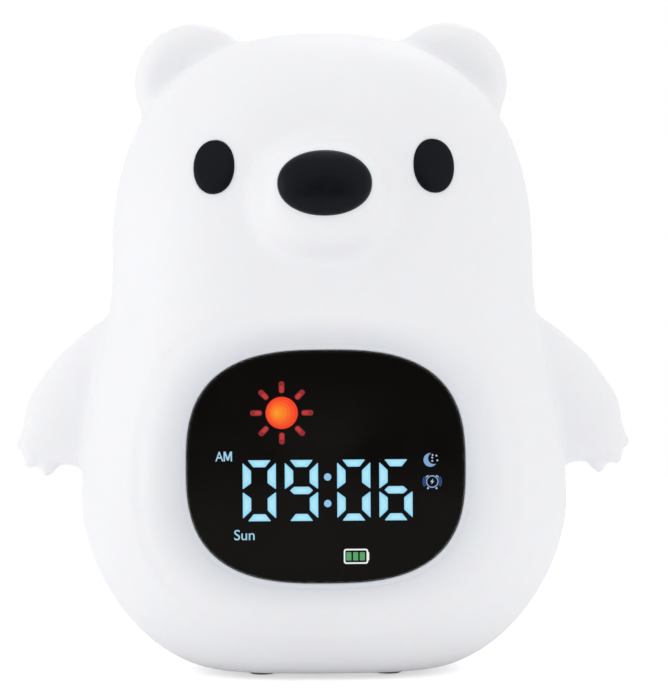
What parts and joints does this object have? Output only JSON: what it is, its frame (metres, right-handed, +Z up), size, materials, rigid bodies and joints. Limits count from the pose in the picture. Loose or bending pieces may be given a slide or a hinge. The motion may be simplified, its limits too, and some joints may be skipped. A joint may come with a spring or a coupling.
{
  "type": "kids alarm clock with night light",
  "caption": "Bear-shaped children's alarm clock with a soft glowing silicone skin, a dark lit display in front, and push buttons, a charging socket and a power switch behind.",
  "frame": {"origin": "on the table, under the middle of the clock's bounding box", "axes": "+Z up through the ears; -Y the way the face and display look; +X to the viewer's right of the face"},
  "size_m": [0.143, 0.095, 0.1496],
  "materials": {
    "skin": "soft satin silicone",
    "face_black": "satin black",
    "window": "high gloss, smoked",
    "foam": "matte foam",
    "film": "diffusing",
    "light_box": "matte",
    "board": "solder mask",
    "diode": "clear resin",
    "screw": "plated",
    "core": "translucent milky",
    "panel": "fine texture",
    "button": "soft matte",
    "stem": "moulded",
    "switch_body": "moulded",
    "chip": "moulded",
    "socket_shell": "stamped and plated",
    "lamp_board": "white solder mask",
    "spring": "gilt wire",
    "cell_wrap": "shrink wrap",
    "strap": "moulded",
    "basket": "pressed",
    "magnet": "plated",
    "cone": "treated paper",
    "foot": "matte",
    "ribbon": "flexible film",
    "red_lead": "insulation",
    "black_lead": "insulation"
  },
  "bodies": {
    "clock": {"silicone_skin": "skin", "left_eye": "face_black", "right_eye": "face_black", "nose": "face_black", "display_lens": "window", "lens_gasket": "foam", "display_film": "film", "display_reflector": "light_box", "display_board": "board", "display_leds": "diode", "display_screws": "screw", "core_front": "core", "core_rear": "core", "core_screws": "screw", "rear_panel": "panel", "rear_screws": "screw", "tact_switches": "switch_body", "main_board": "board", "board_chips": "chip", "board_screws": "screw", "usb_socket": "socket_shell", "usb_tongue": "stem", "power_switch": "socket_shell", "lamp_tower": "light_box", "lamp_board": "lamp_board", "lamp_leds": "diode", "lamp_screws": "screw", "touch_spring": "spring", "battery": "cell_wrap", "battery_straps": "strap", "strap_screws": "screw", "speaker_basket": "basket", "speaker_magnet": "magnet", "speaker_cone": "cone", "base_plate": "panel", "base_screws": "screw", "feet": "foot", "display_ribbon": "ribbon", "lamp_lead": "red_lead", "battery_lead": "red_lead", "speaker_lead": "black_lead"},
    "mode_key": {"mode_button": "button", "mode_stem": "stem"},
    "lamp_key": {"lamp_button": "button", "lamp_stem": "stem"},
    "alarm_key": {"alarm_button": "button", "alarm_stem": "stem"},
    "down_key": {"down_button": "button", "down_stem": "stem"},
    "up_key": {"up_button": "button", "up_stem": "stem"},
    "power_slide": {"power_lever": "stem"}
  },
  "joints": [
    {"name": "mode_press", "type": "slide", "parent": "clock", "child": "mode_key", "axis": [0, -1, 0], "range_m": [0, 0.0005], "stiffness_N_per_m": 800, "springref_m": -0.0005},
    {"name": "lamp_press", "type": "slide", "parent": "clock", "child": "lamp_key", "axis": [0, -1, 0], "range_m": [0, 0.0005], "stiffness_N_per_m": 800, "springref_m": -0.0005},
    {"name": "alarm_press", "type": "slide", "parent": "clock", "child": "alarm_key", "axis": [0, -1, 0], "range_m": [0, 0.0005], "stiffness_N_per_m": 800, "springref_m": -0.0005},
    {"name": "down_press", "type": "slide", "parent": "clock", "child": "down_key", "axis": [0, -1, 0], "range_m": [0, 0.0005], "stiffness_N_per_m": 800, "springref_m": -0.0005},
    {"name": "up_press", "type": "slide", "parent": "clock", "child": "up_key", "axis": [0, -1, 0], "range_m": [0, 0.0005], "stiffness_N_per_m": 800, "springref_m": -0.0005},
    {"name": "power_travel", "type": "slide", "parent": "clock", "child": "power_slide", "axis": [-1, 0, 0], "range_m": [0, 0.0026]}
  ]
}
